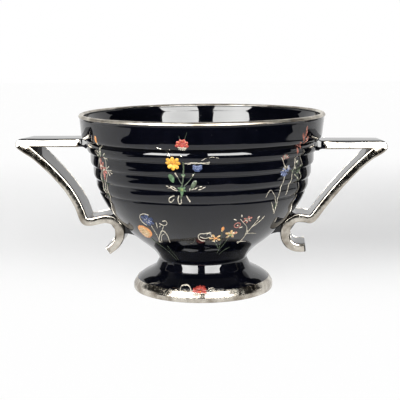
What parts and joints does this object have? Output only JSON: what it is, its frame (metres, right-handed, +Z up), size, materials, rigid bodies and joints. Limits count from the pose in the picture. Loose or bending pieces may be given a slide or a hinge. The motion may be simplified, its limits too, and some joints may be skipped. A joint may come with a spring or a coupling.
{
  "type": "two-handled centerpiece bowl",
  "caption": "Black-glazed pottery bowl on a pedestal foot, with turned ribs, two angular strap handles and silvered edges.",
  "frame": {"origin": "on the floor, on the axis of the bowl and its foot", "axes": "+X through the right handle, +Z up the bowl's axis, and +Y away from the viewer of the front"},
  "size_m": [0.3227, 0.2146, 0.156],
  "materials": {
    "black_glaze": "gloss",
    "silver": "polished"
  },
  "bodies": {
    "root": {"bowl_body": "black_glaze", "pedestal_foot": "black_glaze", "left_handle": "black_glaze", "right_handle": "black_glaze", "rim_silver_band": "silver", "foot_silver_band": "silver", "left_handle_silver_front": "silver", "left_handle_silver_back": "silver", "right_handle_silver_front": "silver", "right_handle_silver_back": "silver"}
  },
  "joints": []
}
